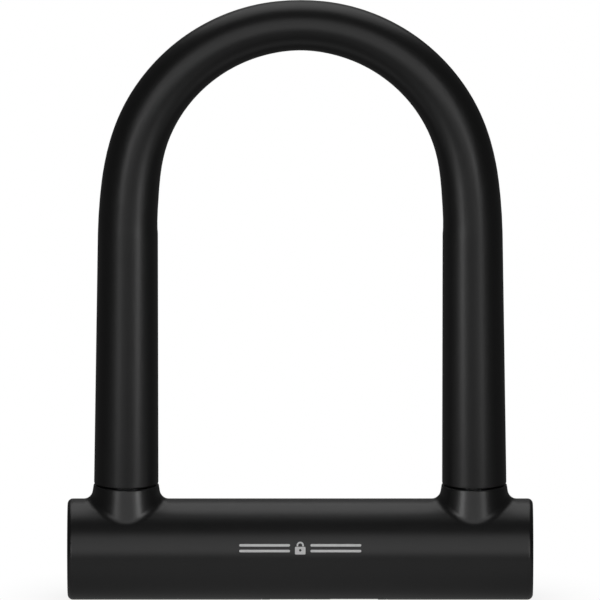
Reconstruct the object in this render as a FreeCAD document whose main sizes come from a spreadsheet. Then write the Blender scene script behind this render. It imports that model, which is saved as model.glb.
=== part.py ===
import FreeCAD, Part
import math
import os
import Sketcher

# A bicycle U lock, closed and unlocked.
# The origin is the centre of the crossbar's axis. X runs along the crossbar, Z runs up
# the legs of the shackle and -Y is the front. All lengths are millimetres.

os.makedirs("parts", exist_ok=True)
doc = FreeCAD.newDocument("u_lock")

# ---------------------------------------------------------------------------
# Driving dimensions
# ---------------------------------------------------------------------------

SIZES = [
    # Outside of the crossbar
    ("crossbar_length", 155.2, "overall length of the crossbar"),
    ("cover_radius", 16.9, "outside radius of the moulded cover"),
    ("cover_bore", 14.55, "bore of the cover, over the steel tube"),
    ("cover_edge", 1.8, "rounding of the cover's end edges"),
    ("collar_top", 22.15, "height of the collars above the crossbar's axis"),
    ("collar_radius", 10.85, "radius of a collar at its top"),
    ("collar_root_radius", 14.3, "radius of the collar's cone at the crossbar's axis"),
    ("collar_blend", 3.4, "blend between collar and crossbar"),
    ("collar_rim", 0.5, "rounding of the collar's rim"),
    ("socket_radius", 9.05, "hole in cover and tube for the leg guide"),
    # Steel tube
    ("tube_length", 150.0, "length of the steel tube"),
    ("tube_radius", 14.5, "outside radius of the steel tube"),
    ("tube_bore", 12.0, "inside radius of the steel tube"),
    ("insert_radius", 11.9, "radius of the pieces that slide into the tube"),
    # Shackle
    ("leg_offset", 58.0, "distance of each leg's axis from the middle, and bend radius"),
    ("arch_height", 119.65, "height of the centre of the shackle's bend"),
    ("bar_radius", 7.0, "radius of the hardened steel bar"),
    ("foot_bottom", -9.5, "height of the underside of the feet"),
    ("foot_chamfer", 1.5, "lead-in on the feet"),
    ("notch_depth", 4.5, "depth of the notch that a bolt enters"),
    ("notch_reach", 4.7, "half height of the notch"),
    # Vinyl sleeve on the shackle
    ("sleeve_bottom", 22.65, "height of the lower ends of the sleeve"),
    ("sleeve_bore", 7.05, "bore of the sleeve"),
    ("sleeve_foot_radius", 10.74, "sleeve radius at its lower ends"),
    ("sleeve_knee_height", 107.2, "height where the sleeve's legs start to curve inward"),
    ("sleeve_knee_offset", 57.3, "distance of the sleeve's legs from the middle there"),
    ("sleeve_knee_radius", 10.0, "sleeve radius there"),
    ("sleeve_easing_radius", 150.0, "centreline radius of the easing into the bend"),
    ("sleeve_spring_radius", 9.5, "sleeve radius at the end of the easing"),
    ("sleeve_crown_radius", 8.38, "sleeve radius at the crown"),
    ("sleeve_edge", 0.4, "rounding of the sleeve's lower edges"),
    # Guides in the collars
    ("guide_bottom", 12.1, "underside of the nylon guide"),
    ("guide_top", 20.2, "top of the nylon guide"),
    ("guide_radius", 9.0, "outside radius of guide and seal"),
    ("guide_bore", 7.15, "bore of the guide and of the foot block"),
    ("seal_bottom", 20.3, "underside of the rubber seal"),
    ("seal_top", 21.95, "top of the rubber seal"),
    ("seal_bore", 7.08, "bore of the rubber seal"),
    # Foot blocks and end caps
    ("block_inner", 45.5, "inner end of a foot block"),
    ("block_outer", 71.0, "outer end of a foot block"),
    ("block_floor", -9.65, "bottom of the bore for the foot"),
    ("roll_pin_offset", 67.9, "distance of the roll pins from the middle"),
    ("roll_pin_radius", 1.5, "outside radius of a roll pin"),
    ("roll_pin_bore", 0.85, "bore of a roll pin"),
    ("roll_pin_length", 28.4, "length of a roll pin"),
    ("cap_inner", 75.05, "inner face of an end cap's flange"),
    ("cap_radius", 14.45, "radius of an end cap's flange"),
    ("cap_spigot_inner", 71.3, "inner end of an end cap's spigot"),
    ("cap_spigot_bore", 9.6, "bore of the spigot"),
    ("cap_edge", 0.6, "chamfer on the end cap"),
    # Bolts
    ("bolt_height", 2.4, "height of the bolts' axis and of the carrier's parting plane"),
    ("bolt_half_width", 4.0, "half width and half height of a bolt's square body"),
    ("bolt_nose", 50.3, "rest position of a bolt's nose"),
    ("bolt_shoulder", 26.0, "rest position of the inner end of the bolt's square body"),
    ("bolt_chamfer", 0.7, "chamfer on the bolt's nose"),
    ("tail_inner", 1.5, "rest position of the tail's inner end"),
    ("tail_half_width", 4.0, "half width of the tail"),
    ("tail_bottom", 0.7, "underside of the tail"),
    ("tail_top", 4.1, "top of the tail"),
    ("bolt_travel", 4.5, "travel of a bolt over a quarter turn of the key"),
    ("bolt_clearance", 0.1, "clearance around the bolts"),
    # Drive cam
    ("cam_bottom", -2.2, "underside of the cam"),
    ("cam_top", 0.5, "top of the cam"),
    ("cam_radius", 11.3, "outside radius of the cam"),
    ("drive_pin_radius", 1.25, "radius of a drive pin"),
    ("drive_pin_offset", 4.5, "rest distance of a drive pin from the key's axis"),
    ("slot_clearance", 0.05, "clearance on each side of a drive pin in its slot"),
    ("cam_square", 4.2, "side of the square boss that turns the cam"),
    ("square_clearance", 0.1, "clearance across the square"),
    ("square_top", -1.25, "top of the square boss"),
    ("cam_web_bottom", -1.2, "underside of the web that the screw clamps"),
    ("cam_web_top", -0.6, "top of the web that the screw clamps"),
    ("cam_recess_radius", 2.6, "recess for the screw's head"),
    # Key cylinder
    ("housing_radius", 9.0, "outside radius of the cylinder housing"),
    ("housing_top", -2.35, "top of the cylinder housing"),
    ("housing_face", 14.4, "radius of the housing's curved front face"),
    ("housing_bore", 6.55, "bore of the housing"),
    ("housing_lip_bore", 4.9, "opening in the lip that holds the core"),
    ("core_radius", 6.5, "outside radius of the core"),
    ("core_bottom", -12.55, "front face of the core"),
    ("core_top", -2.3, "rear face of the core"),
    ("core_cavity", 5.3, "radius of the space for the discs"),
    ("core_ceiling", -4.0, "top of the space for the discs"),
    ("sidebar_inner", 4.35, "inner face of the sidebar"),
    ("sidebar_outer", 6.4, "outer face of the sidebar"),
    ("sidebar_half_width", 0.8, "half width of the sidebar"),
    ("gate_floor", 4.25, "floor of the gates cut in the discs"),
    ("disc_radius", 5.2, "radius of the discs"),
    ("disc_thickness", 0.9, "thickness of a disc"),
    ("disc_pitch", 1.25, "spacing of the discs"),
    ("disc_start", -4.1, "top of the first disc"),
    ("spacer_thickness", 0.31, "thickness of a spacer"),
    ("spacer_bore", 3.1, "bore of a spacer"),
    ("keyway_radius", 2.5, "radius of the half-round keyway"),
    ("keyway_flat", 0.45, "distance of the keyway's flat side from the key's axis"),
    ("plate_radius", 5.25, "radius of the anti-drill plate"),
    ("plate_bottom", -12.5, "front face of the anti-drill plate"),
    ("plate_top", -11.4, "rear face of the anti-drill plate"),
    ("lock_pin_offset", 9.0, "distance of the retaining pin from the key's axis"),
    ("lock_pin_height", -6.0, "height of the retaining pin"),
    ("lock_pin_radius", 1.25, "radius of the retaining pin"),
    ("lock_pin_length", 19.0, "length of the retaining pin"),
    # Carrier inside the tube
    ("carrier_length", 90.6, "length of the two carrier halves"),
    ("carrier_gap", 0.05, "half of the gap between the carrier halves"),
    ("cam_room_radius", 12.6, "radius of the space for the cam"),
    ("cam_room_floor", -2.35, "floor of the space for the cam"),
    ("screw_offset", 19.5, "distance of the carrier screws from the middle"),
    ("screw_side", 6.9, "distance of the carrier screws from the long axis"),
    ("screw_radius", 1.5, "radius of a screw's shank"),
    ("screw_hole_radius", 1.6, "hole for a screw in the upper half"),
    ("screw_head_radius", 2.5, "radius of a screw's head"),
    ("screw_head_bottom", 5.6, "underside of a screw's head"),
    ("screw_head_height", 1.6, "height of a screw's head"),
    ("screw_end", -5.5, "lower end of the screws"),
    # Keyway bezel and dust cover
    ("bezel_left", -13.0, "left end of the window in the cover"),
    ("bezel_right", 29.0, "right end of the window in the cover"),
    ("bezel_half_width", 8.3, "half width of the window in the cover"),
    ("bezel_gap", 0.1, "gap around the bezel"),
    ("bezel_back", 14.6, "radius of the bezel's back"),
    ("bezel_face", 16.88, "radius of the bezel's face"),
    ("bezel_corner", 2.5, "corner radius of the bezel"),
    ("track_left", -10.1, "left end of the track for the dust cover"),
    ("track_right", 25.9, "right end of the track for the dust cover"),
    ("track_floor", 15.7, "radius of the track's floor"),
    ("track_floor_width", 6.6, "half width of the track at its floor"),
    ("track_mouth_width", 5.9, "half width of the track at its mouth"),
    ("keyhole_radius", 5.2, "opening in the bezel"),
    ("shutter_half_length", 10.0, "half length of the dust cover"),
    ("shutter_back", 15.75, "radius of the dust cover's back"),
    ("shutter_face", 16.8, "radius of the dust cover's face"),
    ("shutter_back_width", 6.48, "half width of the dust cover at its back"),
    ("shutter_face_width", 5.75, "half width of the dust cover at its face"),
    ("grip_spacing", 1.8, "spacing of the grip grooves"),
    ("grip_half_width", 0.45, "half width of a grip groove"),
    ("grip_depth", 0.35, "depth of a grip groove"),
    ("grip_reach", 4.2, "half length of a grip groove"),
]

sheet = doc.addObject("Spreadsheet::Sheet", "Sizes")
for row, (alias, value, note) in enumerate(SIZES, 1):
    sheet.set(f"A{row}", alias)
    sheet.set(f"B{row}", str(value))
    sheet.set(f"C{row}", note)
    sheet.setAlias(f"B{row}", alias)
doc.recompute()


class Size:
    """A length held as a number and as the spreadsheet expression that gives it."""

    def __init__(self, value, text=None):
        self.value = float(value)
        self.text = text if text else f"({self.value:.6g})"

    def __add__(self, other):
        other = as_size(other)
        return Size(self.value + other.value, f"({self.text} + {other.text})")

    def __sub__(self, other):
        other = as_size(other)
        return Size(self.value - other.value, f"({self.text} - {other.text})")

    def __mul__(self, other):
        other = as_size(other)
        return Size(self.value * other.value, f"({self.text} * {other.text})")

    def __truediv__(self, other):
        other = as_size(other)
        return Size(self.value / other.value, f"({self.text} / {other.text})")

    def __neg__(self):
        return Size(-self.value, f"(0 - {self.text})")

    def __rmul__(self, other):
        return as_size(other) * self

    def __rsub__(self, other):
        return as_size(other) - self


def as_size(value):
    """A plain number as a Size; a Size as itself."""
    return value if isinstance(value, Size) else Size(value)


class Dimensions:
    """Every driving dimension as an attribute that knows its expression."""


dim = Dimensions()
for alias, value, note in SIZES:
    setattr(dim, alias, Size(value, f"Sizes.{alias}"))

half_crossbar = dim.crossbar_length / 2
half_tube = dim.tube_length / 2
half_carrier = dim.carrier_length / 2
SIDES = {"left": -1, "right": 1}
FAR = Size(40.0)

# ---------------------------------------------------------------------------
# Sketch helpers. On YZ sketches x runs along Y and y along Z; on XZ sketches x runs
# along X and y along Z, and the sketch faces the front.
# ---------------------------------------------------------------------------


def new_body(name):
    """An empty body whose label is the node's name."""
    made = doc.addObject("PartDesign::Body", name)
    made.Label = name
    return made


def new_sketch(body, name, role, offset=0.0, turn=0.0):
    """A sketch on an origin plane, moved along its normal and turned about its y axis."""
    plane = next(item for item in body.Origin.OriginFeatures if item.Role == role)
    made = body.newObject("Sketcher::SketchObject", f"{body.Name}_{name}")
    made.AttachmentSupport = [(plane, "")]
    made.MapMode = "FlatFace"
    made.AttachmentOffset = FreeCAD.Placement(
        FreeCAD.Vector(0, 0, as_size(offset).value),
        FreeCAD.Rotation(FreeCAD.Vector(0, 1, 0), turn),
    )
    made.setExpression("AttachmentOffset.Base.z", as_size(offset).text)
    return made


def constrain(sketch, kind, *where, size):
    """Adds a dimension to the sketch and ties it to its expression."""
    index = sketch.addConstraint(Sketcher.Constraint(kind, *where, size.value))
    sketch.setExpression(f"Constraints[{index}]", size.text)


def fix_point(sketch, geometry, point, x, y):
    """Places a point of a curve at x, y."""
    constrain(sketch, "DistanceX", -1, 1, geometry, point, size=as_size(x))
    constrain(sketch, "DistanceY", -1, 1, geometry, point, size=as_size(y))


def circle(sketch, x, y, radius):
    """A full circle."""
    x, y, radius = as_size(x), as_size(y), as_size(radius)
    centre = FreeCAD.Vector(x.value, y.value, 0)
    curve = Part.Circle(centre, FreeCAD.Vector(0, 0, 1), radius.value)
    index = sketch.addGeometry(curve)
    fix_point(sketch, index, 3, x, y)
    constrain(sketch, "Radius", index, size=radius)


def polygon(sketch, corners):
    """A closed outline of straight lines."""
    corners = [(as_size(x), as_size(y)) for x, y in corners]
    points = [FreeCAD.Vector(x.value, y.value, 0) for x, y in corners]
    lines = [
        sketch.addGeometry(Part.LineSegment(start, end))
        for start, end in zip(points, points[1:] + points[:1])
    ]
    for line, following in zip(lines, lines[1:] + lines[:1]):
        sketch.addConstraint(Sketcher.Constraint("Coincident", line, 2, following, 1))
    for line, (x, y) in zip(lines, corners):
        fix_point(sketch, line, 1, x, y)


def rectangle(sketch, left, bottom, right, top):
    """A rectangle given by two corners."""
    polygon(sketch, [(left, bottom), (right, bottom), (right, top), (left, top)])


def lower_sector(sketch, back, back_width, face, face_width):
    """A curved plate's section at the bottom of the crossbar, between two radii."""
    ends = []
    arcs = []
    for radius, width in ((back, back_width), (face, face_width)):
        spread = math.asin(width.value / radius.value)
        round_curve = Part.Circle(FreeCAD.Vector(), FreeCAD.Vector(0, 0, 1), radius.value)
        start, end = -math.pi / 2 - spread, -math.pi / 2 + spread
        arc = sketch.addGeometry(Part.ArcOfCircle(round_curve, start, end))
        fix_point(sketch, arc, 3, 0.0, 0.0)
        constrain(sketch, "Radius", arc, size=radius)
        constrain(sketch, "DistanceX", -1, 1, arc, 1, size=-width)
        constrain(sketch, "DistanceX", -1, 1, arc, 2, size=width)
        depth = math.sqrt(radius.value**2 - width.value**2)
        ends.append([FreeCAD.Vector(side * width.value, -depth, 0) for side in (-1, 1)])
        arcs.append(arc)
    for point in (1, 2):
        edge = Part.LineSegment(ends[0][point - 1], ends[1][point - 1])
        line = sketch.addGeometry(edge)
        sketch.addConstraint(Sketcher.Constraint("Coincident", line, 1, arcs[0], point))
        sketch.addConstraint(Sketcher.Constraint("Coincident", line, 2, arcs[1], point))


def half_round(sketch, radius, flat, turn=0.0):
    """A half-round keyway whose flat side lies a little off the centre."""
    spread = math.acos(-flat.value / radius.value)
    middle = math.radians(turn)
    round_curve = Part.Circle(FreeCAD.Vector(), FreeCAD.Vector(0, 0, 1), radius.value)
    arc = sketch.addGeometry(Part.ArcOfCircle(round_curve, middle - spread, middle + spread))
    start, end = (
        FreeCAD.Vector(radius.value * math.cos(a), radius.value * math.sin(a), 0)
        for a in (middle + spread, middle - spread)
    )
    line = sketch.addGeometry(Part.LineSegment(start, end))
    fix_point(sketch, arc, 3, 0.0, 0.0)
    constrain(sketch, "Radius", arc, size=radius)
    sketch.addConstraint(Sketcher.Constraint("Coincident", arc, 2, line, 1))
    sketch.addConstraint(Sketcher.Constraint("Coincident", arc, 1, line, 2))
    for point, vector in ((1, end), (2, start)):
        constrain(sketch, "DistanceX", -1, 1, arc, point, size=Size(vector.x))


def shackle_path(sketch, offset, arch_height, bottom):
    """Up one leg, round the bend and down the other leg."""
    x, top, low = offset.value, arch_height.value, bottom.value
    corner = [FreeCAD.Vector(side * x, height, 0) for side in (-1, 1) for height in (low, top)]
    bend = Part.Circle(FreeCAD.Vector(0, top, 0), FreeCAD.Vector(0, 0, 1), x)
    left = sketch.addGeometry(Part.LineSegment(corner[0], corner[1]))
    arch = sketch.addGeometry(Part.ArcOfCircle(bend, 0, math.pi))
    right = sketch.addGeometry(Part.LineSegment(corner[3], corner[2]))
    sketch.addConstraint(Sketcher.Constraint("Coincident", left, 2, arch, 2))
    sketch.addConstraint(Sketcher.Constraint("Coincident", arch, 1, right, 1))
    fix_point(sketch, left, 1, -offset, bottom)
    fix_point(sketch, left, 2, -offset, arch_height)
    fix_point(sketch, right, 2, offset, bottom)
    fix_point(sketch, right, 1, offset, arch_height)
    constrain(sketch, "DistanceY", -1, 1, arch, 3, size=arch_height)


# ---------------------------------------------------------------------------
# Feature helpers
# ---------------------------------------------------------------------------


def pad(body, sketch, length, both_ways=False):
    """Adds the sketch's area, along its normal or half each way."""
    made = body.newObject("PartDesign::Pad", f"{sketch.Name}_pad")
    made.Profile = sketch
    made.Midplane = both_ways
    made.setExpression("Length", as_size(length).text)
    return made


def cut(body, sketch, length, both_ways=False):
    """Removes the sketch's area, along its normal or half each way."""
    made = body.newObject("PartDesign::Pocket", f"{sketch.Name}_cut")
    made.Profile = sketch
    made.Midplane = both_ways
    made.Reversed = not both_ways
    made.setExpression("Length", as_size(length).text)
    return made


def round_pad(body, name, role, start, end, x, y, radius, bore=None):
    """A cylinder, or a ring when a bore is given, from start to end along the normal."""
    sketch = new_sketch(body, name, role, start)
    circle(sketch, x, y, radius)
    if bore is not None:
        circle(sketch, x, y, bore)
    return pad(body, sketch, as_size(end) - as_size(start))


def round_cut(body, name, role, start, end, x, y, radius):
    """A round hole from start to end along the normal."""
    sketch = new_sketch(body, name, role, start)
    circle(sketch, x, y, radius)
    return cut(body, sketch, as_size(end) - as_size(start))


def box_pad(body, name, start, end, left, bottom, right, top):
    """A block over a rectangle of the XY plane, between two heights."""
    sketch = new_sketch(body, name, "XY_Plane", start)
    rectangle(sketch, left, bottom, right, top)
    return pad(body, sketch, as_size(end) - as_size(start))


def box_cut(body, name, start, end, left, bottom, right, top):
    """A rectangular pocket of the XY plane, between two heights."""
    sketch = new_sketch(body, name, "XY_Plane", start)
    rectangle(sketch, left, bottom, right, top)
    return cut(body, sketch, as_size(end) - as_size(start))


def dress(body, kind, name, size, chosen):
    """Rounds or bevels the edges of the body's last feature that pass the test."""
    doc.recompute()
    base = body.Tip
    edges = [f"Edge{i}" for i, edge in enumerate(base.Shape.Edges, 1) if chosen(edge)]
    made = body.newObject(f"PartDesign::{kind}", f"{body.Name}_{name}")
    made.Base = (base, edges)
    made.setExpression("Radius" if kind == "Fillet" else "Size", size.text)
    return made


def level(edge, height):
    """Whether an edge lies flat at a height."""
    box = edge.BoundBox
    return abs(box.ZMin - height) < 0.01 and abs(box.ZMax - height) < 0.01


def upright(edge, x):
    """Whether an edge lies in the plane at x across the crossbar."""
    box = edge.BoundBox
    return abs(box.XMin - x) < 0.01 and abs(box.XMax - x) < 0.01


def is_round(edge, radius):
    """Whether an edge is an arc of the given radius."""
    curve = edge.Curve
    return curve.TypeId == "Part::GeomCircle" and abs(curve.Radius - radius) < 0.01


def sweep(body, kind, name, role_path, offset, arch_height, bottom, radius):
    """A round section carried along the shackle's path."""
    path = new_sketch(body, f"{name}_path", role_path)
    shackle_path(path, offset, arch_height, bottom)
    section = new_sketch(body, f"{name}_section", "XY_Plane", bottom)
    circle(section, -offset, 0.0, radius)
    made = body.newObject(f"PartDesign::{kind}", f"{body.Name}_{name}")
    made.Profile = section
    made.Spine = (path, [])
    return made


def loft(body, name, sections):
    """A skin through sections given as height, turn, distance and radius."""
    sketches = []
    for number, (height, turn, offset, radius) in enumerate(sections):
        sketch = new_sketch(body, f"{name}_{number}", "XY_Plane", height, turn)
        circle(sketch, offset, 0.0, radius)
        sketches.append(sketch)
    made = body.newObject("PartDesign::AdditiveLoft", f"{body.Name}_{name}")
    made.Profile = sketches[0]
    made.Sections = sketches[1:]
    made.Ruled = len(sketches) == 2
    return made


# ---------------------------------------------------------------------------
# Shackle
# ---------------------------------------------------------------------------


def shackle_bar():
    """Hardened steel U with a notch for a bolt on the inner side of each foot."""
    body = new_body("shackle_bar")
    sweep(
        body, "AdditivePipe", "bend", "XZ_Plane",
        dim.leg_offset, dim.arch_height, dim.foot_bottom, dim.bar_radius,
    )
    dress(body, "Chamfer", "lead_in", dim.foot_chamfer, lambda e: level(e, dim.foot_bottom.value))
    for side, sign in SIDES.items():
        inner = sign * (dim.leg_offset - dim.bar_radius - 1.0)
        floor = sign * (dim.leg_offset - dim.bar_radius + dim.notch_depth)
        box_cut(
            body, f"notch_{side}", dim.bolt_height - dim.notch_reach,
            dim.bolt_height + dim.notch_reach,
            inner, -dim.bar_radius - 1.0, floor, dim.bar_radius + 1.0,
        )
    return body


EASING_TURNS = (0.0, 4.3, 8.6)
BEND_STEPS = 12


def easing_section(turn):
    """Height and distance of the sleeve's section plane at a turn within the easing."""
    angle = math.radians(turn)
    sag = dim.sleeve_easing_radius * (1.0 - math.cos(angle))
    reach = dim.sleeve_knee_offset - sag
    climb = dim.sleeve_easing_radius * math.sin(angle)
    height = dim.sleeve_knee_height + climb - reach * math.tan(angle)
    return height, reach / math.cos(angle)


def shackle_sleeve():
    """Vinyl sleeve over the bar, thickest at its lower ends and thinnest at the crown."""
    body = new_body("shackle_sleeve")
    last_turn = EASING_TURNS[-1]
    easing = []
    for turn in EASING_TURNS:
        height, distance = easing_section(turn)
        thinning = (dim.sleeve_knee_radius - dim.sleeve_spring_radius) * (turn / last_turn)
        easing.append((height, turn, distance, dim.sleeve_knee_radius - thinning))
    height, distance, spring = easing[-1][0], easing[-1][2], dim.sleeve_spring_radius
    bend = []
    for step in range(1, BEND_STEPS):
        turn = last_turn + (180.0 - 2 * last_turn) * step / BEND_STEPS
        share = (90.0 - abs(turn - 90.0) - last_turn) / (90.0 - last_turn)
        thinning = (spring - dim.sleeve_crown_radius) * share**0.8
        bend.append((height, turn, distance, spring - thinning))
    mirrored = [(h, 180.0 - turn, d, r) for h, turn, d, r in reversed(easing)]
    loft(body, "arch", [(h, turn, -d, r) for h, turn, d, r in easing + bend + mirrored])
    for side, sign in SIDES.items():
        loft(body, f"leg_{side}", [
            (dim.sleeve_bottom, 0.0, sign * dim.leg_offset, dim.sleeve_foot_radius),
            (
                dim.sleeve_knee_height, 0.0, sign * dim.sleeve_knee_offset,
                dim.sleeve_knee_radius,
            ),
        ])
    dress(body, "Fillet", "edge", dim.sleeve_edge, lambda e: level(e, dim.sleeve_bottom.value))
    sweep(
        body, "SubtractivePipe", "bore", "XZ_Plane",
        dim.leg_offset, dim.arch_height, dim.collar_top - 4.0, dim.sleeve_bore,
    )
    return body


# ---------------------------------------------------------------------------
# Crossbar shell
# ---------------------------------------------------------------------------


def crossbar_tube():
    """Steel tube with a hole for each leg and one for the key cylinder."""
    body = new_body("crossbar_tube")
    round_pad(
        body, "wall", "YZ_Plane", -half_tube, half_tube, 0.0, 0.0,
        dim.tube_radius, dim.tube_bore,
    )
    for side, sign in SIDES.items():
        round_cut(
            body, f"leg_{side}", "XY_Plane", 0.0, FAR,
            sign * dim.leg_offset, 0.0, dim.socket_radius,
        )
        pin = new_sketch(body, f"pin_{side}", "XZ_Plane")
        circle(pin, sign * dim.roll_pin_offset, 0.0, dim.roll_pin_radius + 0.02)
        cut(body, pin, 2 * FAR, both_ways=True)
    round_cut(
        body, "cylinder", "XY_Plane", -FAR, 0.0, 0.0, 0.0, dim.housing_radius + 0.1
    )
    return body


def crossbar_cover():
    """Moulded cover over the tube, with a blended collar around each leg."""
    body = new_body("crossbar_cover")
    round_pad(
        body, "skin", "YZ_Plane", -half_crossbar, half_crossbar, 0.0, 0.0, dim.cover_radius
    )
    plane = next(i for i in body.Origin.OriginFeatures if i.Role == "XY_Plane")
    for side, sign in SIDES.items():
        cone = body.newObject("PartDesign::AdditiveCone", f"crossbar_cover_collar_{side}")
        cone.AttachmentSupport = [(plane, "")]
        cone.MapMode = "FlatFace"
        cone.setExpression("AttachmentOffset.Base.x", (sign * dim.leg_offset).text)
        cone.setExpression("Radius1", dim.collar_root_radius.text)
        cone.setExpression("Radius2", dim.collar_radius.text)
        cone.setExpression("Height", dim.collar_top.text)

    def collar_root(edge):
        box = edge.BoundBox
        low, high = dim.bar_radius.value, dim.collar_top.value - 1.0
        return box.ZMin > low and box.ZMax < high and box.YLength > dim.cover_radius.value

    dress(body, "Fillet", "blend", dim.collar_blend, collar_root)
    dress(body, "Fillet", "rim", dim.collar_rim, lambda e: level(e, dim.collar_top.value))
    dress(
        body, "Fillet", "ends", dim.cover_edge,
        lambda e: any(upright(e, sign * half_crossbar.value) for sign in (-1, 1)),
    )
    bore = new_sketch(body, "bore", "YZ_Plane")
    circle(bore, 0.0, 0.0, dim.cover_bore)
    cut(body, bore, dim.crossbar_length + 2.0, both_ways=True)
    for side, sign in SIDES.items():
        round_cut(
            body, f"socket_{side}", "XY_Plane", 0.0, FAR,
            sign * dim.leg_offset, 0.0, dim.socket_radius,
        )
    box_cut(
        body, "window", -FAR, 0.0,
        dim.bezel_left, -dim.bezel_half_width, dim.bezel_right, dim.bezel_half_width,
    )

    def window_corner(edge):
        box = edge.BoundBox
        flat = box.XLength < 0.01 and box.YLength < 0.01
        inside = abs(box.XMin) < half_carrier.value
        return flat and inside and box.ZMax < 0.0 and box.ZLength > 1.0

    dress(body, "Fillet", "window_corners", dim.bezel_corner, window_corner)
    return body


def end_cap(side, sign):
    """Cap that closes one end of the crossbar, with a spigot into the tube."""
    body = new_body(f"end_cap_{side}")
    inner, outer = sign * dim.cap_inner, sign * half_crossbar
    spigot = sign * dim.cap_spigot_inner
    if sign < 0:
        round_pad(body, "disc", "YZ_Plane", outer, inner, 0.0, 0.0, dim.cap_radius)
    else:
        round_pad(body, "disc", "YZ_Plane", inner, outer, 0.0, 0.0, dim.cap_radius)
    dress(
        body, "Chamfer", "edge", dim.cap_edge,
        lambda e: upright(e, sign * half_crossbar.value),
    )
    low, high = (inner, spigot) if sign < 0 else (spigot, inner)
    round_pad(
        body, "spigot", "YZ_Plane", low, high, 0.0, 0.0,
        dim.insert_radius, dim.cap_spigot_bore,
    )
    return body


def foot_block(side, sign):
    """Hardened block that receives one foot, with a guide hole for the bolt."""
    body = new_body(f"foot_block_{side}")
    ends = [sign * dim.block_inner, sign * dim.block_outer]
    low, high = ends if sign > 0 else ends[::-1]
    round_pad(body, "block", "YZ_Plane", low, high, 0.0, 0.0, dim.insert_radius)
    leg = sign * dim.leg_offset
    round_cut(body, "foot_bore", "XY_Plane", dim.block_floor, FAR, leg, 0.0, dim.guide_bore)
    low, high = (leg, ends[0] + 1.0) if sign < 0 else (ends[0] - 1.0, leg)
    width = dim.bolt_half_width + dim.bolt_clearance
    box_cut(
        body, "bolt_guide", dim.bolt_height - width, dim.bolt_height + width,
        low, -width, high, width,
    )
    pin = new_sketch(body, "pin", "XZ_Plane")
    circle(pin, sign * dim.roll_pin_offset, 0.0, dim.roll_pin_radius + 0.02)
    cut(body, pin, 2 * FAR, both_ways=True)
    return body


def leg_bush(side, sign):
    """Nylon guide for one leg, seated in the collar."""
    body = new_body(f"leg_bush_{side}")
    round_pad(
        body, "ring", "XY_Plane", dim.guide_bottom, dim.guide_top,
        sign * dim.leg_offset, 0.0, dim.guide_radius, dim.guide_bore,
    )
    return body


def collar_seal(side, sign):
    """Rubber wiper ring at the top of one collar."""
    body = new_body(f"collar_seal_{side}")
    round_pad(
        body, "ring", "XY_Plane", dim.seal_bottom, dim.seal_top,
        sign * dim.leg_offset, 0.0, dim.guide_radius, dim.seal_bore,
    )
    dress(
        body, "Chamfer", "lip", Size(0.6),
        lambda e: level(e, dim.seal_top.value) and is_round(e, dim.seal_bore.value),
    )
    return body


def end_pins():
    """Spring pins that hold the foot blocks in the tube."""
    body = new_body("end_pins")
    body.AllowCompound = True
    sketch = new_sketch(body, "rings", "XZ_Plane")
    for sign in SIDES.values():
        circle(sketch, sign * dim.roll_pin_offset, 0.0, dim.roll_pin_radius)
        circle(sketch, sign * dim.roll_pin_offset, 0.0, dim.roll_pin_bore)
    pad(body, sketch, dim.roll_pin_length, both_ways=True)
    return body


# ---------------------------------------------------------------------------
# Carrier
# ---------------------------------------------------------------------------


def carrier_half(name, keep_below):
    """Half of the carrier: a cylinder split at the bolts' axis, with channels for them."""
    body = new_body(name)
    round_pad(
        body, "core", "YZ_Plane", -half_carrier, half_carrier, 0.0, 0.0, dim.insert_radius
    )
    half = new_sketch(body, "other_half", "YZ_Plane")
    if keep_below:
        rectangle(half, -FAR, dim.bolt_height - dim.carrier_gap, FAR, FAR)
    else:
        rectangle(half, -FAR, -FAR, FAR, dim.bolt_height + dim.carrier_gap)
    cut(body, half, dim.carrier_length + 2.0, both_ways=True)
    room = dim.bolt_half_width + dim.bolt_clearance
    for side, sign in SIDES.items():
        box_cut(
            body, f"bolt_channel_{side}", dim.bolt_height - room, dim.bolt_height + room,
            sign * (dim.bolt_shoulder - 0.5), -room, sign * (half_carrier + 1.0), room,
        )
    width = dim.tail_half_width + dim.bolt_clearance
    reach = dim.bolt_shoulder + 1.0
    box_cut(
        body, "tail_channel", dim.tail_bottom - dim.bolt_clearance,
        dim.tail_top + dim.bolt_clearance, -reach, -width, reach, width,
    )
    return body


def chassis_lower():
    """Lower carrier half, around the key cylinder and under the bolts."""
    body = carrier_half("chassis_lower", keep_below=True)
    round_cut(
        body, "cylinder_bore", "XY_Plane", -FAR, 0.0, 0.0, 0.0, dim.housing_radius + 0.05
    )
    round_cut(
        body, "cam_room", "XY_Plane", dim.cam_room_floor, FAR, 0.0, 0.0, dim.cam_room_radius
    )
    pin = new_sketch(body, "pin", "XZ_Plane")
    circle(pin, dim.lock_pin_offset, dim.lock_pin_height, dim.lock_pin_radius + 0.02)
    cut(body, pin, 2 * FAR, both_ways=True)
    for side, sign in SIDES.items():
        box_cut(
            body, f"hollow_{side}", -FAR, Size(-5.0),
            sign * Size(27.0), Size(-5.0), sign * Size(41.0), Size(5.0),
        )
    for number, (x, y) in enumerate(screw_places()):
        round_cut(
            body, f"screw_{number}", "XY_Plane", dim.screw_end - 0.5, FAR,
            x, y, dim.screw_radius + 0.02,
        )
    return body


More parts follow.
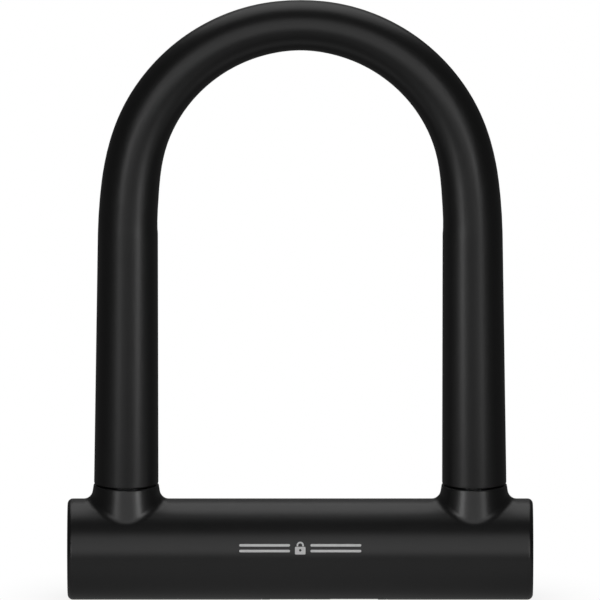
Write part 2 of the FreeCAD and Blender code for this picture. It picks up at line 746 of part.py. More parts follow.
def chassis_upper():
    """Upper carrier half, over the bolts."""
    body = carrier_half("chassis_upper", keep_below=False)
    for number, (x, y) in enumerate(screw_places()):
        round_cut(body, f"screw_{number}", "XY_Plane", 0.0, FAR, x, y, dim.screw_hole_radius)
        round_cut(
            body, f"head_{number}", "XY_Plane", dim.screw_head_bottom, FAR,
            x, y, dim.screw_head_radius + 0.2,
        )
    for side, sign in SIDES.items():
        box_cut(
            body, f"hollow_{side}", Size(9.0), FAR,
            sign * Size(28.0), Size(-4.5), sign * Size(41.0), Size(4.5),
        )
    return body


def screw_places():
    """Positions of the four carrier screws, seen from above."""
    return [
        (along * dim.screw_offset, across * dim.screw_side)
        for along in SIDES.values()
        for across in SIDES.values()
    ]


def chassis_screws():
    """Screws that clamp the carrier halves together."""
    body = new_body("chassis_screws")
    body.AllowCompound = True
    shanks = new_sketch(body, "shanks", "XY_Plane", dim.screw_end)
    heads = new_sketch(body, "heads", "XY_Plane", dim.screw_head_bottom)
    top = dim.screw_head_bottom + dim.screw_head_height
    sockets = new_sketch(body, "sockets", "XY_Plane", top - 0.9)
    across = Size(1.25)
    for x, y in screw_places():
        circle(shanks, x, y, dim.screw_radius)
        circle(heads, x, y, dim.screw_head_radius)
        corners = [
            (across.value * math.cos(math.radians(a)), across.value * math.sin(math.radians(a)))
            for a in range(0, 360, 60)
        ]
        polygon(sockets, [(x + dx, y + dy) for dx, dy in corners])
    pad(body, shanks, dim.screw_head_bottom - dim.screw_end)
    pad(body, heads, dim.screw_head_height)
    cut(body, sockets, Size(2.0))
    return body


# ---------------------------------------------------------------------------
# Key cylinder
# ---------------------------------------------------------------------------


def cylinder_housing():
    """Fixed housing of the key cylinder, its front face curved to match the tube."""
    body = new_body("cylinder_housing")
    round_pad(
        body, "wall", "XY_Plane", Size(-14.5), dim.housing_top, 0.0, 0.0, dim.housing_radius
    )
    outside = new_sketch(body, "face", "YZ_Plane")
    circle(outside, 0.0, 0.0, dim.housing_face)
    circle(outside, 0.0, 0.0, FAR)
    cut(body, outside, FAR, both_ways=True)
    round_cut(
        body, "bore", "XY_Plane", dim.core_bottom - 0.05, 0.0, 0.0, 0.0, dim.housing_bore
    )
    round_cut(body, "lip", "XY_Plane", -FAR, 0.0, 0.0, 0.0, dim.housing_lip_bore)
    groove = dim.sidebar_half_width + 0.2
    box_cut(
        body, "groove", disc_stack_bottom() - 0.2, dim.core_ceiling,
        -groove, dim.core_radius - 1.0, groove, dim.housing_radius - 1.0,
    )
    pin = new_sketch(body, "pin", "XZ_Plane")
    circle(pin, dim.lock_pin_offset, dim.lock_pin_height, dim.lock_pin_radius + 0.02)
    cut(body, pin, FAR, both_ways=True)
    return body


def cylinder_retaining_pin():
    """Cross pin that locks the housing in the carrier."""
    body = new_body("cylinder_retaining_pin")
    sketch = new_sketch(body, "pin", "XZ_Plane")
    circle(sketch, dim.lock_pin_offset, dim.lock_pin_height, dim.lock_pin_radius)
    pad(body, sketch, dim.lock_pin_length, both_ways=True)
    return body


DISC_TURNS = (54.0, 18.0, 72.0, 36.0, 90.0, 0.0)


def disc_stack_bottom():
    """Underside of the lowest disc."""
    return dim.disc_start - (len(DISC_TURNS) - 1) * dim.disc_pitch - dim.disc_thickness


def cylinder_core():
    """Turning core that holds the discs and the sidebar, with a square boss on top."""
    body = new_body("cylinder_core")
    round_pad(
        body, "barrel", "XY_Plane", dim.core_bottom, dim.core_top, 0.0, 0.0, dim.core_radius
    )
    half = dim.cam_square / 2
    box_pad(body, "boss", dim.core_top, dim.square_top, -half, -half, half, half)
    round_cut(
        body, "cavity", "XY_Plane", dim.core_bottom - 1.0, dim.core_ceiling,
        0.0, 0.0, dim.core_cavity,
    )
    width = dim.sidebar_half_width + 0.05
    box_cut(
        body, "slot", disc_stack_bottom() - 0.05, dim.disc_start + 0.05,
        dim.core_cavity - 0.5, -width, dim.core_radius + 1.0, width,
    )
    round_cut(
        body, "thread", "XY_Plane", dim.core_ceiling + 0.2, FAR, 0.0, 0.0,
        dim.drive_pin_radius,
    )
    return body


def detainer_discs():
    """Detainer discs, their gates in line and their keyways turned to the key's cuts."""
    body = new_body("detainer_discs")
    body.AllowCompound = True
    gate = dim.sidebar_half_width + 0.1
    for number, turn in enumerate(DISC_TURNS):
        bottom = dim.disc_start - number * dim.disc_pitch - dim.disc_thickness
        sketch = new_sketch(body, f"disc_{number}", "XY_Plane", bottom)
        circle(sketch, 0.0, 0.0, dim.disc_radius)
        half_round(sketch, dim.keyway_radius, dim.keyway_flat, turn)
        pad(body, sketch, dim.disc_thickness)
    box_cut(
        body, "gates", disc_stack_bottom() - 1.0, 0.0,
        dim.gate_floor, -gate, dim.core_radius, gate,
    )
    return body


def disc_spacers():
    """Thin washers between the discs."""
    body = new_body("disc_spacers")
    body.AllowCompound = True
    gate = dim.sidebar_half_width + 0.1
    play = (dim.disc_pitch - dim.disc_thickness - dim.spacer_thickness) / 2
    for number in range(1, len(DISC_TURNS)):
        bottom = dim.disc_start - number * dim.disc_pitch + play
        sketch = new_sketch(body, f"washer_{number}", "XY_Plane", bottom)
        circle(sketch, 0.0, 0.0, dim.disc_radius)
        circle(sketch, 0.0, 0.0, dim.spacer_bore)
        pad(body, sketch, dim.spacer_thickness)
    box_cut(
        body, "gates", disc_stack_bottom() - 1.0, 0.0,
        dim.gate_floor, -gate, dim.core_radius, gate,
    )
    return body


def sidebar():
    """Locking bar that drops into the discs' gates."""
    body = new_body("sidebar")
    box_pad(
        body, "bar", disc_stack_bottom(), dim.disc_start,
        dim.sidebar_inner, -dim.sidebar_half_width,
        dim.sidebar_outer, dim.sidebar_half_width,
    )
    dress(
        body, "Chamfer", "bevel", Size(0.35),
        lambda e: e.BoundBox.ZLength > 5.0 and e.BoundBox.XMin > dim.core_cavity.value,
    )
    return body


def anti_drill_plate():
    """Hardened disc with the keyway, in front of the discs."""
    body = new_body("anti_drill_plate")
    sketch = new_sketch(body, "plate", "XY_Plane", dim.plate_bottom)
    circle(sketch, 0.0, 0.0, dim.plate_radius)
    half_round(sketch, dim.keyway_radius, dim.keyway_flat)
    pad(body, sketch, dim.plate_top - dim.plate_bottom)
    return body


def spiral_point(turn, shift):
    """A point beside the drive pin's path in the cam, shifted across the path."""
    rise = dim.bolt_travel.value / (math.pi / 2)
    radius = dim.drive_pin_offset.value - rise * turn
    outward = (math.cos(turn), math.sin(turn))
    along = (
        -rise * outward[0] - radius * outward[1],
        -rise * outward[1] + radius * outward[0],
    )
    length = math.hypot(*along)
    return FreeCAD.Vector(
        radius * outward[0] - shift * along[1] / length,
        radius * outward[1] + shift * along[0] / length,
        dim.cam_bottom.value - 1.0,
    )


def spiral_slot():
    """Solid that cuts one spiral slot through the cam."""
    half = dim.drive_pin_radius.value + dim.slot_clearance.value
    over = math.radians(1.0)
    steps = 24
    turns = [over - (math.pi / 2 + 2 * over) * step / steps for step in range(steps + 1)]
    sides = []
    for shift in (half, -half):
        side = Part.BSplineCurve()
        side.interpolate([spiral_point(turn, shift) for turn in turns])
        sides.append(side.toShape())
    caps = []
    for turn in (turns[0], turns[-1]):
        ends = [spiral_point(turn, shift) for shift in (half, -half)]
        middle = spiral_point(turn, 0.0)
        inward = spiral_point(turns[1] if turn == turns[0] else turns[-2], 0.0) - middle
        across = ends[0] - ends[1]
        tip = FreeCAD.Vector(across.y, -across.x, 0)
        tip.normalize()
        tip = tip * (half if tip.dot(inward) < 0 else -half)
        caps.append(Part.Arc(ends[0], middle + tip, ends[1]).toShape())
    outline = Part.Wire(Part.__sortEdges__(sides + caps))
    height = dim.cam_top.value - dim.cam_bottom.value + 2.0
    return Part.Face(outline).extrude(FreeCAD.Vector(0, 0, height))


def drive_cam():
    """Cam turned by the core; its spiral slots push the drive pins outward."""
    disc = Part.makeCylinder(
        dim.cam_radius.value, dim.cam_top.value - dim.cam_bottom.value,
        FreeCAD.Vector(0, 0, dim.cam_bottom.value),
    )
    side = dim.cam_square.value + dim.square_clearance.value
    square = Part.makeBox(
        side, side, dim.cam_web_bottom.value - dim.cam_bottom.value + 1.0,
        FreeCAD.Vector(-side / 2, -side / 2, dim.cam_bottom.value - 1.0),
    )
    hole = Part.makeCylinder(
        dim.drive_pin_radius.value + 0.1, 10.0, FreeCAD.Vector(0, 0, dim.cam_bottom.value - 1.0)
    )
    recess = Part.makeCylinder(
        dim.cam_recess_radius.value, 10.0, FreeCAD.Vector(0, 0, dim.cam_web_top.value)
    )
    slot = spiral_slot()
    other = slot.copy()
    other.rotate(FreeCAD.Vector(), FreeCAD.Vector(0, 0, 1), 180.0)
    made = doc.addObject("Part::Feature", "drive_cam")
    made.Shape = disc.cut([square, hole, recess, slot, other])
    made.Label = "drive_cam"
    return made


def cam_screw():
    """Screw that holds the cam on the core."""
    body = new_body("cam_screw")
    round_pad(
        body, "shank", "XY_Plane", dim.core_ceiling + 0.3, dim.cam_web_top, 0.0, 0.0,
        dim.drive_pin_radius - 0.02,
    )
    round_pad(
        body, "head", "XY_Plane", dim.cam_web_top, dim.cam_top - 0.05, 0.0, 0.0,
        dim.cam_recess_radius - 0.2,
    )
    slot = Size(0.3)
    box_cut(body, "slot", dim.cam_top - 0.5, dim.cam_top + 1.0, Size(-3.0), -slot, Size(3.0), slot)
    return body


# ---------------------------------------------------------------------------
# Bolts
# ---------------------------------------------------------------------------


def bolt(side, sign):
    """Bolt with a square body and a flat tail over the cam."""
    body = new_body(f"bolt_{side}")
    half = dim.bolt_half_width
    box_pad(
        body, "square", dim.bolt_height - half, dim.bolt_height + half,
        sign * dim.bolt_shoulder, -half, sign * dim.bolt_nose, half,
    )
    dress(
        body, "Chamfer", "nose", dim.bolt_chamfer,
        lambda e: upright(e, sign * dim.bolt_nose.value),
    )
    box_pad(
        body, "tail", dim.tail_bottom, dim.tail_top,
        sign * dim.tail_inner, -dim.tail_half_width,
        sign * (dim.bolt_shoulder + 1.0), dim.tail_half_width,
    )
    round_cut(
        body, "pin_hole", "XY_Plane", dim.tail_bottom - 1.0, dim.tail_top + 1.0,
        sign * dim.drive_pin_offset, 0.0, dim.drive_pin_radius + 0.01,
    )
    return body


def drive_pin(side, sign):
    """Pin fixed in a bolt's tail that runs in the cam's slot."""
    body = new_body(f"drive_pin_{side}")
    round_pad(
        body, "pin", "XY_Plane", dim.cam_bottom + 0.1, dim.tail_top - 0.05,
        sign * dim.drive_pin_offset, 0.0, dim.drive_pin_radius,
    )
    return body


# ---------------------------------------------------------------------------
# Keyway bezel and dust cover
# ---------------------------------------------------------------------------


def bezel_corner_edge(edge):
    """Whether an edge is one of the bezel's upright corners."""
    box = edge.BoundBox
    return box.XLength < 0.01 and box.YLength < 0.01 and box.ZLength > 1.0


def keyway_bezel():
    """Curved plate in the cover's underside, with the keyhole and the dust cover's track."""
    body = new_body("keyway_bezel")
    left, right = dim.bezel_left + dim.bezel_gap, dim.bezel_right - dim.bezel_gap
    width = dim.bezel_half_width - dim.bezel_gap
    box_pad(body, "plate", Size(-20.0), Size(-5.0), left, -width, right, width)
    dress(body, "Fillet", "corners", dim.bezel_corner - dim.bezel_gap, bezel_corner_edge)
    face = new_sketch(body, "face", "YZ_Plane")
    circle(face, 0.0, 0.0, dim.bezel_face)
    circle(face, 0.0, 0.0, FAR)
    cut(body, face, 3 * FAR, both_ways=True)
    back = new_sketch(body, "back", "YZ_Plane")
    circle(back, 0.0, 0.0, dim.bezel_back)
    cut(body, back, 3 * FAR, both_ways=True)
    track = new_sketch(body, "track", "YZ_Plane", dim.track_left)
    outer = dim.cover_radius + 0.8
    slope = (dim.track_mouth_width - dim.track_floor_width) / (dim.bezel_face - dim.track_floor)
    mouth = dim.track_floor_width + slope * (outer - dim.track_floor)
    lower_sector(track, dim.track_floor, dim.track_floor_width, outer, mouth)
    cut(body, track, dim.track_right - dim.track_left)
    round_cut(body, "keyhole", "XY_Plane", -FAR, 0.0, 0.0, 0.0, dim.keyhole_radius)
    return body


def dust_cover():
    """Sliding cover over the keyhole, held by the track's undercut sides."""
    body = new_body("dust_cover")
    section = new_sketch(body, "plate", "YZ_Plane", -dim.shutter_half_length)
    lower_sector(
        section, dim.shutter_back, dim.shutter_back_width,
        dim.shutter_face, dim.shutter_face_width,
    )
    pad(body, section, 2 * dim.shutter_half_length)
    for number in range(-2, 3):
        start = number * dim.grip_spacing - dim.grip_half_width
        groove = new_sketch(body, f"grip_{number + 2}", "YZ_Plane", start)
        lower_sector(
            groove, dim.shutter_face - dim.grip_depth, dim.grip_reach,
            dim.shutter_face + 1.0, dim.grip_reach,
        )
        cut(body, groove, 2 * dim.grip_half_width)
    return body


# ---------------------------------------------------------------------------
# Build, check and export
# ---------------------------------------------------------------------------

nodes = [shackle_bar(), shackle_sleeve(), crossbar_tube(), crossbar_cover()]
for make_pair in (end_cap, foot_block, leg_bush, collar_seal, bolt, drive_pin):
    nodes += [make_pair(side, sign) for side, sign in SIDES.items()]
nodes += [
    end_pins(), chassis_lower(), chassis_upper(), chassis_screws(),
    cylinder_housing(), cylinder_retaining_pin(), cylinder_core(), detainer_discs(),
    disc_spacers(), sidebar(), anti_drill_plate(), drive_cam(), cam_screw(),
    keyway_bezel(), dust_cover(),
]
doc.recompute()

for item in doc.Objects:
    if "Invalid" in item.State or "Error" in item.State:
        raise RuntimeError(f"{item.Label} did not recompute: {item.State}")
for node in nodes:
    if node.Shape.isNull() or not node.Shape.isValid():
        raise RuntimeError(f"{node.Label} has no valid shape")
    node.Shape.exportStep(f"parts/{node.Label}.step")
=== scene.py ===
import math

import bmesh
import bpy
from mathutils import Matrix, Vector


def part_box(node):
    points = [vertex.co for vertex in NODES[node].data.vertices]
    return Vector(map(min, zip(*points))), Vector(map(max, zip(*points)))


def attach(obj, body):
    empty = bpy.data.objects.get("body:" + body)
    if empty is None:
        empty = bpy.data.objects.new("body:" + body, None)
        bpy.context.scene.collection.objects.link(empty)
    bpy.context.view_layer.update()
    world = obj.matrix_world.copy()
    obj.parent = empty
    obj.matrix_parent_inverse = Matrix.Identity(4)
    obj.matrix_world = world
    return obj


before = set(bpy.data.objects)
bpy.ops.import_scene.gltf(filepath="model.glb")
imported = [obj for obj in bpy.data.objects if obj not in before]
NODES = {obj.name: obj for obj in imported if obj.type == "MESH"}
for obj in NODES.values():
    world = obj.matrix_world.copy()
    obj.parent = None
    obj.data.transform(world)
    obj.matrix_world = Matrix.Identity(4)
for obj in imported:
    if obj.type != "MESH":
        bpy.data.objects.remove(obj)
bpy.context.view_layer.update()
MM = 0.001

# The crossbar's axis is the X axis, and the legs stand at plus and minus LEG_OFFSET along it.
COVER_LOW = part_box("crossbar_cover")[0]
SEAL_LOW, SEAL_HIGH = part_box("collar_seal_right")
COVER_RADIUS = -COVER_LOW.z
LEG_OFFSET = (SEAL_LOW.x + SEAL_HIGH.x) / 2
FLOOR_GAP = 0.05 * MM
FLOOR_HEIGHT = COVER_LOW.z - FLOOR_GAP


# ---------------------------------------------------------------------------
# Node helpers
# ---------------------------------------------------------------------------

# The colour mix node has sockets of several kinds under one name; these are the colour ones.
MIX_FACTOR, MIX_FIRST, MIX_SECOND, MIX_RESULT = 0, 6, 7, 2

# A scale that leaves coordinates as they are.
EVEN = (1.0, 1.0, 1.0)


def new_material(name):
    """A material with an empty principled surface, its node tree and that surface."""
    material = bpy.data.materials.new(name)
    material.use_nodes = True
    tree = material.node_tree
    surface = tree.nodes["Principled BSDF"]
    return material, tree, surface


def noise(tree, vector, scale, detail=2.0, roughness=0.5):
    """Noise over a coordinate, with features of about 1 / scale metres."""
    node = tree.nodes.new("ShaderNodeTexNoise")
    node.inputs["Scale"].default_value = scale
    node.inputs["Detail"].default_value = detail
    node.inputs["Roughness"].default_value = roughness
    tree.links.new(vector, node.inputs["Vector"])
    return node.outputs["Fac"]


def stretched(tree, scale):
    """Object coordinates multiplied along each axis."""
    coordinates = tree.nodes.new("ShaderNodeTexCoord")
    mapping = tree.nodes.new("ShaderNodeMapping")
    mapping.inputs["Scale"].default_value = scale
    tree.links.new(coordinates.outputs["Object"], mapping.inputs["Vector"])
    return mapping.outputs["Vector"]


def remap(tree, value, low, high):
    """Turns a 0..1 value into low..high."""
    node = tree.nodes.new("ShaderNodeMapRange")
    node.inputs["To Min"].default_value = low
    node.inputs["To Max"].default_value = high
    tree.links.new(value, node.inputs["Value"])
    return node.outputs["Result"]


def blend_colours(tree, factor, first, second):
    """A colour between two, by a 0..1 value."""
    node = tree.nodes.new("ShaderNodeMix")
    node.data_type = "RGBA"
    node.inputs[MIX_FIRST].default_value = (*first, 1.0)
    node.inputs[MIX_SECOND].default_value = (*second, 1.0)
    tree.links.new(factor, node.inputs[MIX_FACTOR])
    return node.outputs[MIX_RESULT]


def grey(value):
    """A neutral colour."""
    return (value, value, value)


def scaled_colour(colour, factor):
    """A colour made darker or lighter."""
    return tuple(factor * part for part in colour)


def bump(tree, surface, heights):
    """Chains bumps, each given as a height value, a strength and a depth in metres."""
    normal = None
    for height, strength, depth in heights:
        node = tree.nodes.new("ShaderNodeBump")
        node.inputs["Strength"].default_value = strength
        node.inputs["Distance"].default_value = depth
        tree.links.new(height, node.inputs["Height"])
        if normal is not None:
            tree.links.new(normal, node.inputs["Normal"])
        normal = node.outputs["Normal"]
    tree.links.new(normal, surface.inputs["Normal"])


# ---------------------------------------------------------------------------
# Materials
# ---------------------------------------------------------------------------

# Noise scales, one over the size of the features in metres.
CLOUD_SCALE = 45.0
RIPPLE_SCALE = 110.0
PATCH_SCALE = 160.0
STEEL_CLOUD_SCALE = 90.0
CAST_CLOUD_SCALE = 120.0
PEBBLE_SCALE = 1400.0
INK_SCALE = 900.0
INK_GRAIN_SCALE = 5000.0


def satin_black(name, shade, roughness, grain, grain_depth):
    """Moulded black plastic or vinyl: fine grain, faint clouding of colour and gloss."""
    material, tree, surface = new_material(name)
    even = stretched(tree, EVEN)
    clouds = noise(tree, even, CLOUD_SCALE, 3.0)
    tint = blend_colours(tree, clouds, scaled_colour(shade, 0.8), scaled_colour(shade, 1.25))
    tree.links.new(tint, surface.inputs["Base Color"])
    patches = noise(tree, even, PATCH_SCALE, 4.0, 0.6)
    gloss = remap(tree, patches, roughness - 0.035, roughness + 0.035)
    tree.links.new(gloss, surface.inputs["Roughness"])
    fine = noise(tree, even, grain, 2.0)
    ripple = noise(tree, even, RIPPLE_SCALE, 1.0)
    bump(tree, surface, [(fine, 0.35, grain_depth), (ripple, 0.25, 0.04 * MM)])
    surface.inputs["IOR"].default_value = 1.5
    return material


def worked_steel(name, shade, roughness, streaks):
    """Steel or brass: fine streaks along the axis with the smallest scale, else an even grain."""
    material, tree, surface = new_material(name)
    fibres = noise(tree, stretched(tree, streaks), 1.0, 4.0, 0.65)
    clouds = noise(tree, stretched(tree, EVEN), STEEL_CLOUD_SCALE, 3.0)
    tint = blend_colours(tree, clouds, scaled_colour(shade, 0.72), shade)
    tree.links.new(tint, surface.inputs["Base Color"])
    gloss = remap(tree, fibres, roughness - 0.1, roughness + 0.12)
    tree.links.new(gloss, surface.inputs["Roughness"])
    bump(tree, surface, [(fibres, 0.5, 0.015 * MM)])
    surface.inputs["Metallic"].default_value = 1.0
    return material


def cast_metal(name, shade):
    """Die-cast metal: pebbled skin and uneven gloss."""
    material, tree, surface = new_material(name)
    even = stretched(tree, EVEN)
    clouds = noise(tree, even, CAST_CLOUD_SCALE, 4.0)
    tint = blend_colours(tree, clouds, scaled_colour(shade, 0.75), shade)
    tree.links.new(tint, surface.inputs["Base Color"])
    tree.links.new(remap(tree, clouds, 0.38, 0.62), surface.inputs["Roughness"])
    bump(tree, surface, [(noise(tree, even, PEBBLE_SCALE, 3.0), 0.5, 0.03 * MM)])
    surface.inputs["Metallic"].default_value = 1.0
    return material


def print_ink():
    """Light grey pad-printed ink, slightly uneven in cover."""
    material, tree, surface = new_material("print_ink")
    even = stretched(tree, EVEN)
    cover = noise(tree, even, INK_SCALE, 3.0)
    tint = blend_colours(tree, cover, grey(0.52), grey(0.64))
    tree.links.new(tint, surface.inputs["Base Color"])
    tree.links.new(remap(tree, cover, 0.42, 0.55), surface.inputs["Roughness"])
    bump(tree, surface, [(noise(tree, even, INK_GRAIN_SCALE), 0.3, 0.01 * MM)])
    return material


def dress_nodes():
    """Gives every CAD node its material."""
    black = (0.0055, 0.0055, 0.0056)
    cap_black = (0.006, 0.006, 0.0062)
    sleeve = satin_black("sleeve_vinyl", black, 0.36, 2600.0, 0.012 * MM)
    cover = satin_black("cover_moulding", black, 0.32, 2200.0, 0.012 * MM)
    cap = satin_black("cap_moulding", cap_black, 0.38, 1700.0, 0.02 * MM)
    rubber = satin_black("seal_rubber", grey(0.005), 0.7, 1500.0, 0.03 * MM)
    nylon = satin_black("guide_nylon", (0.03, 0.03, 0.031), 0.45, 1300.0, 0.02 * MM)
    bar = worked_steel("shackle_steel", (0.55, 0.56, 0.57), 0.3, (900.0, 900.0, 60.0))
    tube = worked_steel("tube_steel", (0.36, 0.36, 0.37), 0.4, (40.0, 900.0, 900.0))
    block = worked_steel("block_steel", (0.26, 0.26, 0.27), 0.38, (500.0, 500.0, 500.0))
    plated = worked_steel("fixing_steel", (0.52, 0.52, 0.5), 0.3, (700.0, 700.0, 700.0))
    core = worked_steel("core_steel", grey(0.55), 0.28, (200.0, 200.0, 2500.0))
    ground = worked_steel("bolt_steel", (0.6, 0.6, 0.61), 0.24, (60.0, 1800.0, 1800.0))
    brass = worked_steel("cylinder_brass", (0.72, 0.5, 0.22), 0.3, (150.0, 150.0, 2500.0))
    zinc = cast_metal("carrier_zinc", (0.46, 0.46, 0.45))
    chosen = {
        sleeve: ["shackle_sleeve"],
        cover: ["crossbar_cover"],
        cap: ["end_cap_left", "end_cap_right", "keyway_bezel", "dust_cover"],
        rubber: ["collar_seal_left", "collar_seal_right"],
        nylon: ["leg_bush_left", "leg_bush_right"],
        bar: ["shackle_bar"],
        tube: ["crossbar_tube"],
        block: ["foot_block_left", "foot_block_right", "anti_drill_plate", "drive_cam"],
        plated: ["end_pins", "chassis_screws", "cylinder_retaining_pin", "cam_screw"],
        core: ["cylinder_core", "disc_spacers", "sidebar"],
        ground: ["bolt_left", "bolt_right", "drive_pin_left", "drive_pin_right"],
        brass: ["cylinder_housing", "detainer_discs"],
        zinc: ["chassis_lower", "chassis_upper"],
    }
    for material, names in chosen.items():
        for name in names:
            slots = NODES[name].data.materials
            slots.clear()
            slots.append(material)


# ---------------------------------------------------------------------------
# Printed mark: a plain padlock pictogram between two pairs of lines
# ---------------------------------------------------------------------------

# The mark's middle, as an angle up from the crossbar's foremost line, and its ink's thickness.
MARK_TILT = math.radians(12.8)
MARK_LIFT = 0.02 * MM

# Sizes of the mark as it lies flat, in millimetres from its middle.
LOCK_HALF_WIDTH = 1.75
LOCK_BOTTOM = -2.1
LOCK_TOP = 0.45
LOCK_CORNER = 0.3
KEYHOLE_HEIGHT = -0.7
KEYHOLE_RADIUS = 0.42
BOW_FOOT = 0.6
BOW_HEIGHT = 0.95
BOW_OUTER = 1.2
BOW_INNER = 0.68
LINE_START = 3.4
LINE_END = 20.3
LINE_HEIGHT = 0.95
LINE_HALF_THICKNESS = 0.42
LINE_CORNER = 0.4

# The flat mark is cut into strips of this height, so that it bends smoothly.
STRIP_HEIGHT = 0.23
STRIPS_EACH_WAY = 10


def arc_points(centre, radius, start, end, count):
    """Points along an arc in the plane of the print."""
    return [
        (
            centre[0] + radius * math.cos(start + (end - start) * i / count),
            centre[1] + radius * math.sin(start + (end - start) * i / count),
        )
        for i in range(count + 1)
    ]


def rounded_box(left, bottom, right, top, radius):
    """Outline of a rectangle with rounded corners."""
    outline = []
    corners = [
        (right - radius, bottom + radius, -0.5), (right - radius, top - radius, 0.0),
        (left + radius, top - radius, 0.5), (left + radius, bottom + radius, 1.0),
    ]
    for x, y, turn in corners:
        start = turn * math.pi
        outline += arc_points((x, y), radius, start, start + math.pi / 2, 6)
    return outline


def padlock_outlines():
    """Closed padlock pictogram: its body with a keyhole, and its bow."""
    body = rounded_box(-LOCK_HALF_WIDTH, LOCK_BOTTOM, LOCK_HALF_WIDTH, LOCK_TOP, LOCK_CORNER)
    keyhole = arc_points((0.0, KEYHOLE_HEIGHT), KEYHOLE_RADIUS, 0.0, 2 * math.pi, 20)[:-1]
    crown = (0.0, BOW_HEIGHT)
    outer = arc_points(crown, BOW_OUTER, 0.0, math.pi, 20)
    inner = arc_points(crown, BOW_INNER, math.pi, 0.0, 20)
    bow = [(BOW_OUTER, BOW_FOOT), *outer, (-BOW_OUTER, BOW_FOOT)]
    bow += [(-BOW_INNER, BOW_FOOT), *inner, (BOW_INNER, BOW_FOOT)]
    return [[body, keyhole], [bow]]


def line_outlines():
    """Two lines on each side of the padlock."""
    outlines = []
    for side in (-1, 1):
        left, right = sorted((side * LINE_START, side * LINE_END))
        for middle in (-LINE_HEIGHT, LINE_HEIGHT):
            bottom = middle - LINE_HALF_THICKNESS
            top = middle + LINE_HALF_THICKNESS
            outlines.append([rounded_box(left, bottom, right, top, LINE_CORNER)])
    return outlines


def printed_mark(ink):
    """The mark as a skin that follows the crossbar's front."""
    shape = bmesh.new()
    for loops in padlock_outlines() + line_outlines():
        edges = []
        for loop in loops:
            points = [shape.verts.new((x, y, 0.0)) for x, y in loop]
            following = points[1:] + points[:1]
            edges += [shape.edges.new(pair) for pair in zip(points, following)]
        bmesh.ops.triangle_fill(shape, use_beauty=True, edges=edges)
    for step in range(-STRIPS_EACH_WAY, STRIPS_EACH_WAY + 1):
        everything = shape.verts[:] + shape.edges[:] + shape.faces[:]
        cut = (0.0, STRIP_HEIGHT * step, 0.0)
        bmesh.ops.bisect_plane(shape, geom=everything, plane_co=cut, plane_no=(0, 1, 0))
    radius = COVER_RADIUS + MARK_LIFT
    for vertex in shape.verts:
        turn = MARK_TILT + vertex.co.y * MM / COVER_RADIUS
        vertex.co = Vector((
            vertex.co.x * MM, -radius * math.cos(turn), radius * math.sin(turn)
        ))
    shape.normal_update()
    if sum(face.normal.y for face in shape.faces) > 0:
        bmesh.ops.reverse_faces(shape, faces=shape.faces[:])
    mesh = bpy.data.meshes.new("printed_mark")
    shape.to_mesh(mesh)
    shape.free()
    mark = bpy.data.objects.new("printed_mark", mesh)
    bpy.context.scene.collection.objects.link(mark)
    mark.data.materials.append(ink)
    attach(mark, "crossbar")


# ---------------------------------------------------------------------------
# Studio
# ---------------------------------------------------------------------------

# Strengths of light that is seen only in reflections: the room's and the floor's.
ROOM_GLOW = 0.06
FAINT_FLOOR = 0.08
NEAR_POOL = 0.3
SIDE_POOL = 0.5

# The floor's half width, its brightness where something stands on it, and that shade's reach.
FLOOR_REACH = 3.0
CONTACT_SHADE = 0.78
CONTACT_REACH = 0.03

# Panels in the plane x = 0, facing the middle of the object:
# name, degrees from the front over the top, width, height, radiance.
MIDDLE = Vector((0.0, 0.0, 0.08))
PANEL_DISTANCE = 1.5
PANELS = [
    ("front_low", 4.5, 2.6, 0.4, 1.05),
    ("front_wide", 27.0, 2.0, 0.8, 0.85),
    ("overhead_wide", 115.0, 1.8, 1.7, 0.86),
    ("overhead_core", 108.0, 0.8, 0.65, 0.36),
    ("rear_low", 162.0, 0.8, 0.8, 0.1),
]

# Narrow beams, one of each kind at each side, aimed at the leg across from them:
# name, place of the right-hand one, width, height, radiance, height aimed at, spread.
BEAMS = [
    ("leg_beam", (0.235, -0.345, 0.078), 0.1, 0.185, 0.23, 0.07, 36.0),
    ("collar_beam", (0.225, -0.3, 0.18), 0.13, 0.22, 0.09, 0.018, 28.0),
]

# The camera sees VIEW_WIDTH across at its target; its sensor is given in millimetres.
CAMERA_ELEVATION = math.radians(11.0)
CAMERA_DISTANCE = 5.5
CAMERA_TARGET = Vector((-0.00008, 0.0, 0.08464))
CAMERA_SENSOR = 36.0
CAMERA_FAR_END = 50.0
VIEW_WIDTH = 0.1996


def shader_mix(tree, factor, first, second):
    """Blends two shaders by a 0..1 value."""
    mix = tree.nodes.new("ShaderNodeMixShader")
    tree.links.new(factor, mix.inputs["Fac"])
    tree.links.new(first, mix.inputs[1])
    tree.links.new(second, mix.inputs[2])
    return mix.outputs["Shader"]


def glow(tree, kind, strength):
    """A white emitting shader: a ShaderNodeBackground or a ShaderNodeEmission."""
    node = tree.nodes.new(kind)
    node.inputs["Color"].default_value = (1.0, 1.0, 1.0, 1.0)
    node.inputs["Strength"].default_value = strength
    return node


def studio_world():
    """White to the camera; a dark room to everything else."""
    world = bpy.data.worlds.new("studio")
    bpy.context.scene.world = world
    world.use_nodes = True
    tree = world.node_tree
    tree.nodes.clear()
    path = tree.nodes.new("ShaderNodeLightPath")
    room = glow(tree, "ShaderNodeBackground", ROOM_GLOW).outputs["Background"]
    seen = glow(tree, "ShaderNodeBackground", 1.0).outputs["Background"]
    output = tree.nodes.new("ShaderNodeOutputWorld")
    surface = shader_mix(tree, path.outputs["Is Camera Ray"], room, seen)
    tree.links.new(surface, output.inputs["Surface"])


